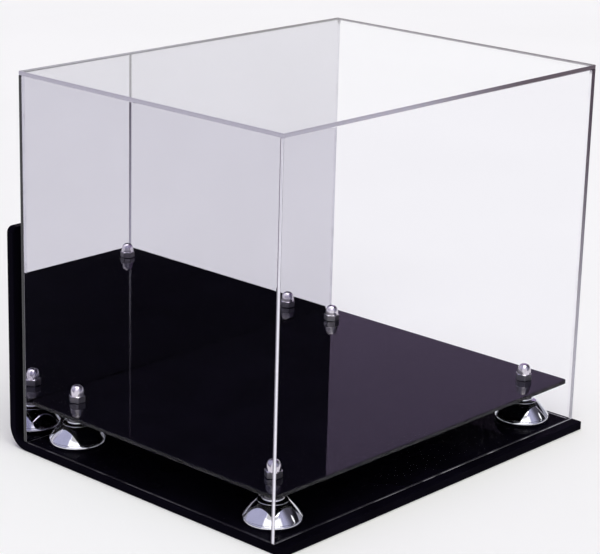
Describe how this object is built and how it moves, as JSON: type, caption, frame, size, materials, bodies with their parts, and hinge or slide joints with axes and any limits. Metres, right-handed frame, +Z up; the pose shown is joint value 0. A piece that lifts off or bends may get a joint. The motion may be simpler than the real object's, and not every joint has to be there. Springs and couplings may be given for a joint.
{
  "type": "acrylic display case",
  "caption": "Clear box cover with a mirrored back that lifts off an L-shaped black wall base, over a raised black plate on bright cone risers, for showing a collectable.",
  "frame": {"origin": "middle of the underside of the whole case, on the surface it stands on", "axes": "+X to the right along the wall seen from the front, +Y towards the wall, -Y the front, +Z up"},
  "size_m": [0.34, 0.279, 0.2864],
  "materials": {
    "black_acrylic": "cast black acrylic, high gloss",
    "clear_acrylic": "clear cast acrylic, polished edges",
    "mirror_acrylic": "mirrored acrylic, dark painted back",
    "bright_metal": "bright chrome plate",
    "zinc_steel": "zinc plated"
  },
  "bodies": {
    "base": {"wall_mount_base": "black_acrylic", "riser_plate": "black_acrylic", "riser_front_left": "bright_metal", "riser_front_right": "bright_metal", "riser_back_left": "bright_metal", "riser_back_right": "bright_metal", "acorn_nut_front_left": "bright_metal", "acorn_nut_front_right": "bright_metal", "acorn_nut_back_left": "bright_metal", "acorn_nut_back_right": "bright_metal", "machine_screw_front_left": "zinc_steel", "machine_screw_front_right": "zinc_steel", "machine_screw_back_left": "zinc_steel", "machine_screw_back_right": "zinc_steel"},
    "cover": {"top_panel": "clear_acrylic", "front_panel": "clear_acrylic", "left_panel": "clear_acrylic", "right_panel": "clear_acrylic", "mirror_back": "mirror_acrylic"}
  },
  "joints": [
    {"name": "cover_lift", "type": "slide", "parent": "base", "child": "cover", "axis": [0, 0, 1], "range_m": [0, 0.3]}
  ]
}
